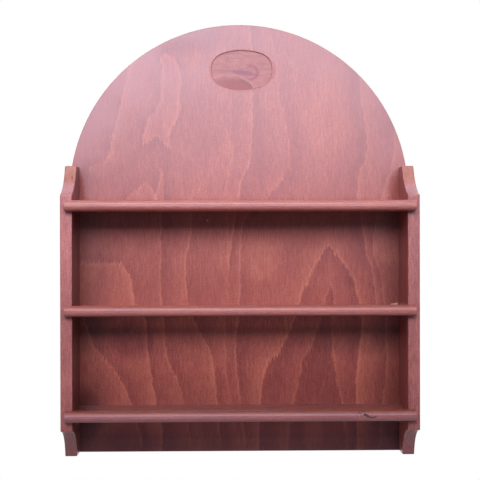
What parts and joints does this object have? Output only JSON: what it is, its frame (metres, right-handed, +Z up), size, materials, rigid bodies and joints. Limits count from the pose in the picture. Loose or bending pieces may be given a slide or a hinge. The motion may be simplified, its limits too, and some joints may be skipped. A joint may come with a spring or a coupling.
{
  "type": "wall display shelf",
  "caption": "Arched wooden wall shelf with coved side boards and half-round strips on the shelves' front edges, hung on keyholes, for showing small figures or jars.",
  "frame": {"origin": "on the wall, at the middle of the bottom edge of the panel's back", "axes": "+X to the right seen from the front, +Y into the wall, +Z up"},
  "size_m": [0.44, 0.089, 0.5475],
  "materials": {
    "panel_wood": "reddish-brown stain on veneered plywood, satin lacquer",
    "board_wood": "reddish-brown stain on solid wood, satin lacquer",
    "shelf_wood": "reddish-brown stain on veneered plywood, satin lacquer",
    "strip_wood": "reddish-brown stain on solid wood, satin lacquer",
    "screw_steel": "yellow zinc plating",
    "hanger_steel": "bright zinc plating"
  },
  "bodies": {
    "root": {"back_panel": "panel_wood", "left_side": "board_wood", "right_side": "board_wood", "lower_shelf": "shelf_wood", "middle_shelf": "shelf_wood", "upper_shelf": "shelf_wood", "lower_front_strip": "strip_wood", "middle_front_strip": "strip_wood", "upper_front_strip": "strip_wood", "left_side_screws": "screw_steel", "right_side_screws": "screw_steel", "lower_shelf_screws": "screw_steel", "middle_shelf_screws": "screw_steel", "upper_shelf_screws": "screw_steel", "left_hanger": "hanger_steel", "right_hanger": "hanger_steel", "left_hanger_screws": "screw_steel", "right_hanger_screws": "screw_steel"}
  },
  "joints": []
}
